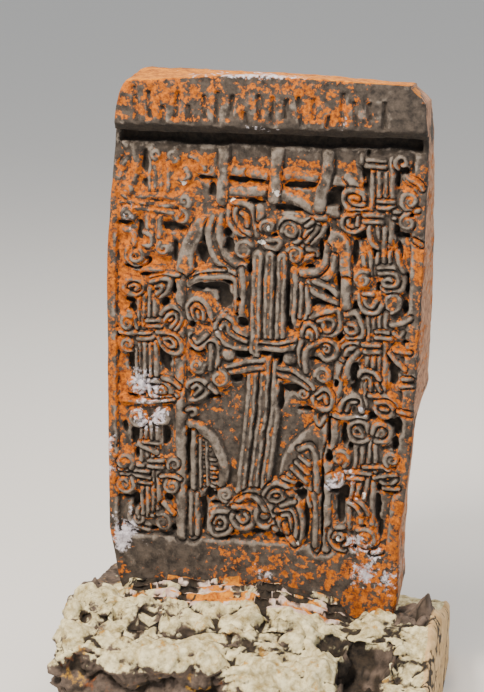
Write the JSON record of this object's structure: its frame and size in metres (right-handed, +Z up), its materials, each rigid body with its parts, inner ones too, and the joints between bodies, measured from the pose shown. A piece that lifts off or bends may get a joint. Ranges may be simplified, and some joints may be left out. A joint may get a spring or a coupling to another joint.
{
  "type": "khachkar",
  "caption": "Carved cross-stone slab with cornice, great cross, smaller crosses and leaves, standing upright in a socket of a rough base stone.",
  "frame": {"origin": "middle of the base stone's underside, on the ground", "axes": "+Z up, the carved face looks along -Y, +X to the viewer's right"},
  "size_m": [1.056, 0.76, 1.7593],
  "materials": {
    "carved_stone": "weathered grey-brown tuff with orange and pale crust lichen",
    "rough_stone": "rough broken rock under cream-yellow lichen"
  },
  "bodies": {
    "root": {"slab": "carved_stone", "base_stone": "rough_stone"}
  },
  "joints": []
}
